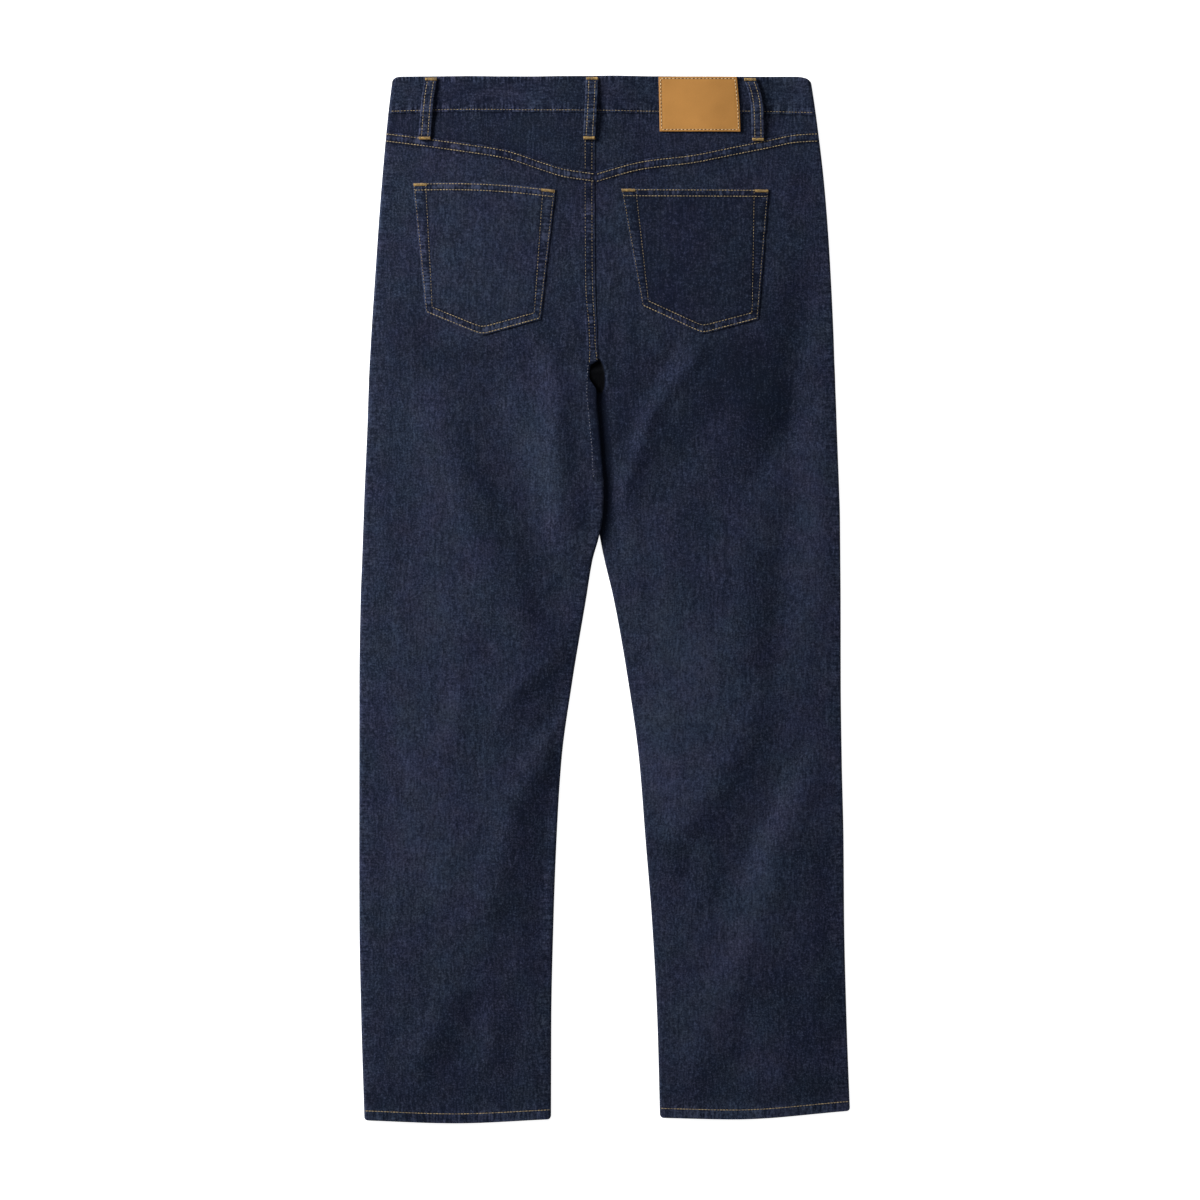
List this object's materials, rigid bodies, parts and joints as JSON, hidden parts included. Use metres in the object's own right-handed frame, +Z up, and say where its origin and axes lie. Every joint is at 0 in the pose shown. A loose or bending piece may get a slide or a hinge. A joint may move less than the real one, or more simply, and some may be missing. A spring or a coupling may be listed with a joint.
{
  "type": "straight leg jeans",
  "caption": "Straight leg denim jeans laid flat on their front: waistband, pointed yokes, patch pockets, belt loops, a plain leather patch and scooped front pockets.",
  "frame": {"origin": "on the surface that the jeans lie on, under the middle of their outline", "axes": "+Y towards the waist, +X towards the wearer's right leg, +Z up, out of the back that faces the viewer"},
  "size_m": [0.4914, 1.046, 0.0151],
  "materials": {
    "denim": "dark indigo twill",
    "leather": "smooth tan, matte",
    "button_metal": "brushed copper brown",
    "zip_tape": "woven tape"
  },
  "bodies": {
    "root": {"waistband": "denim", "back_yoke_left": "denim", "back_yoke_right": "denim", "back_leg_left": "denim", "back_leg_right": "denim", "front_leg_left": "denim", "front_leg_right": "denim", "back_pocket_left": "denim", "back_pocket_right": "denim", "front_pocket_facing_left": "denim", "front_pocket_facing_right": "denim", "belt_loop_back_left": "denim", "belt_loop_back_centre": "denim", "belt_loop_back_right": "denim", "belt_loop_front_left": "denim", "belt_loop_front_right": "denim", "patch": "leather", "waist_button": "button_metal", "fly_zip": "zip_tape"}
  },
  "joints": []
}
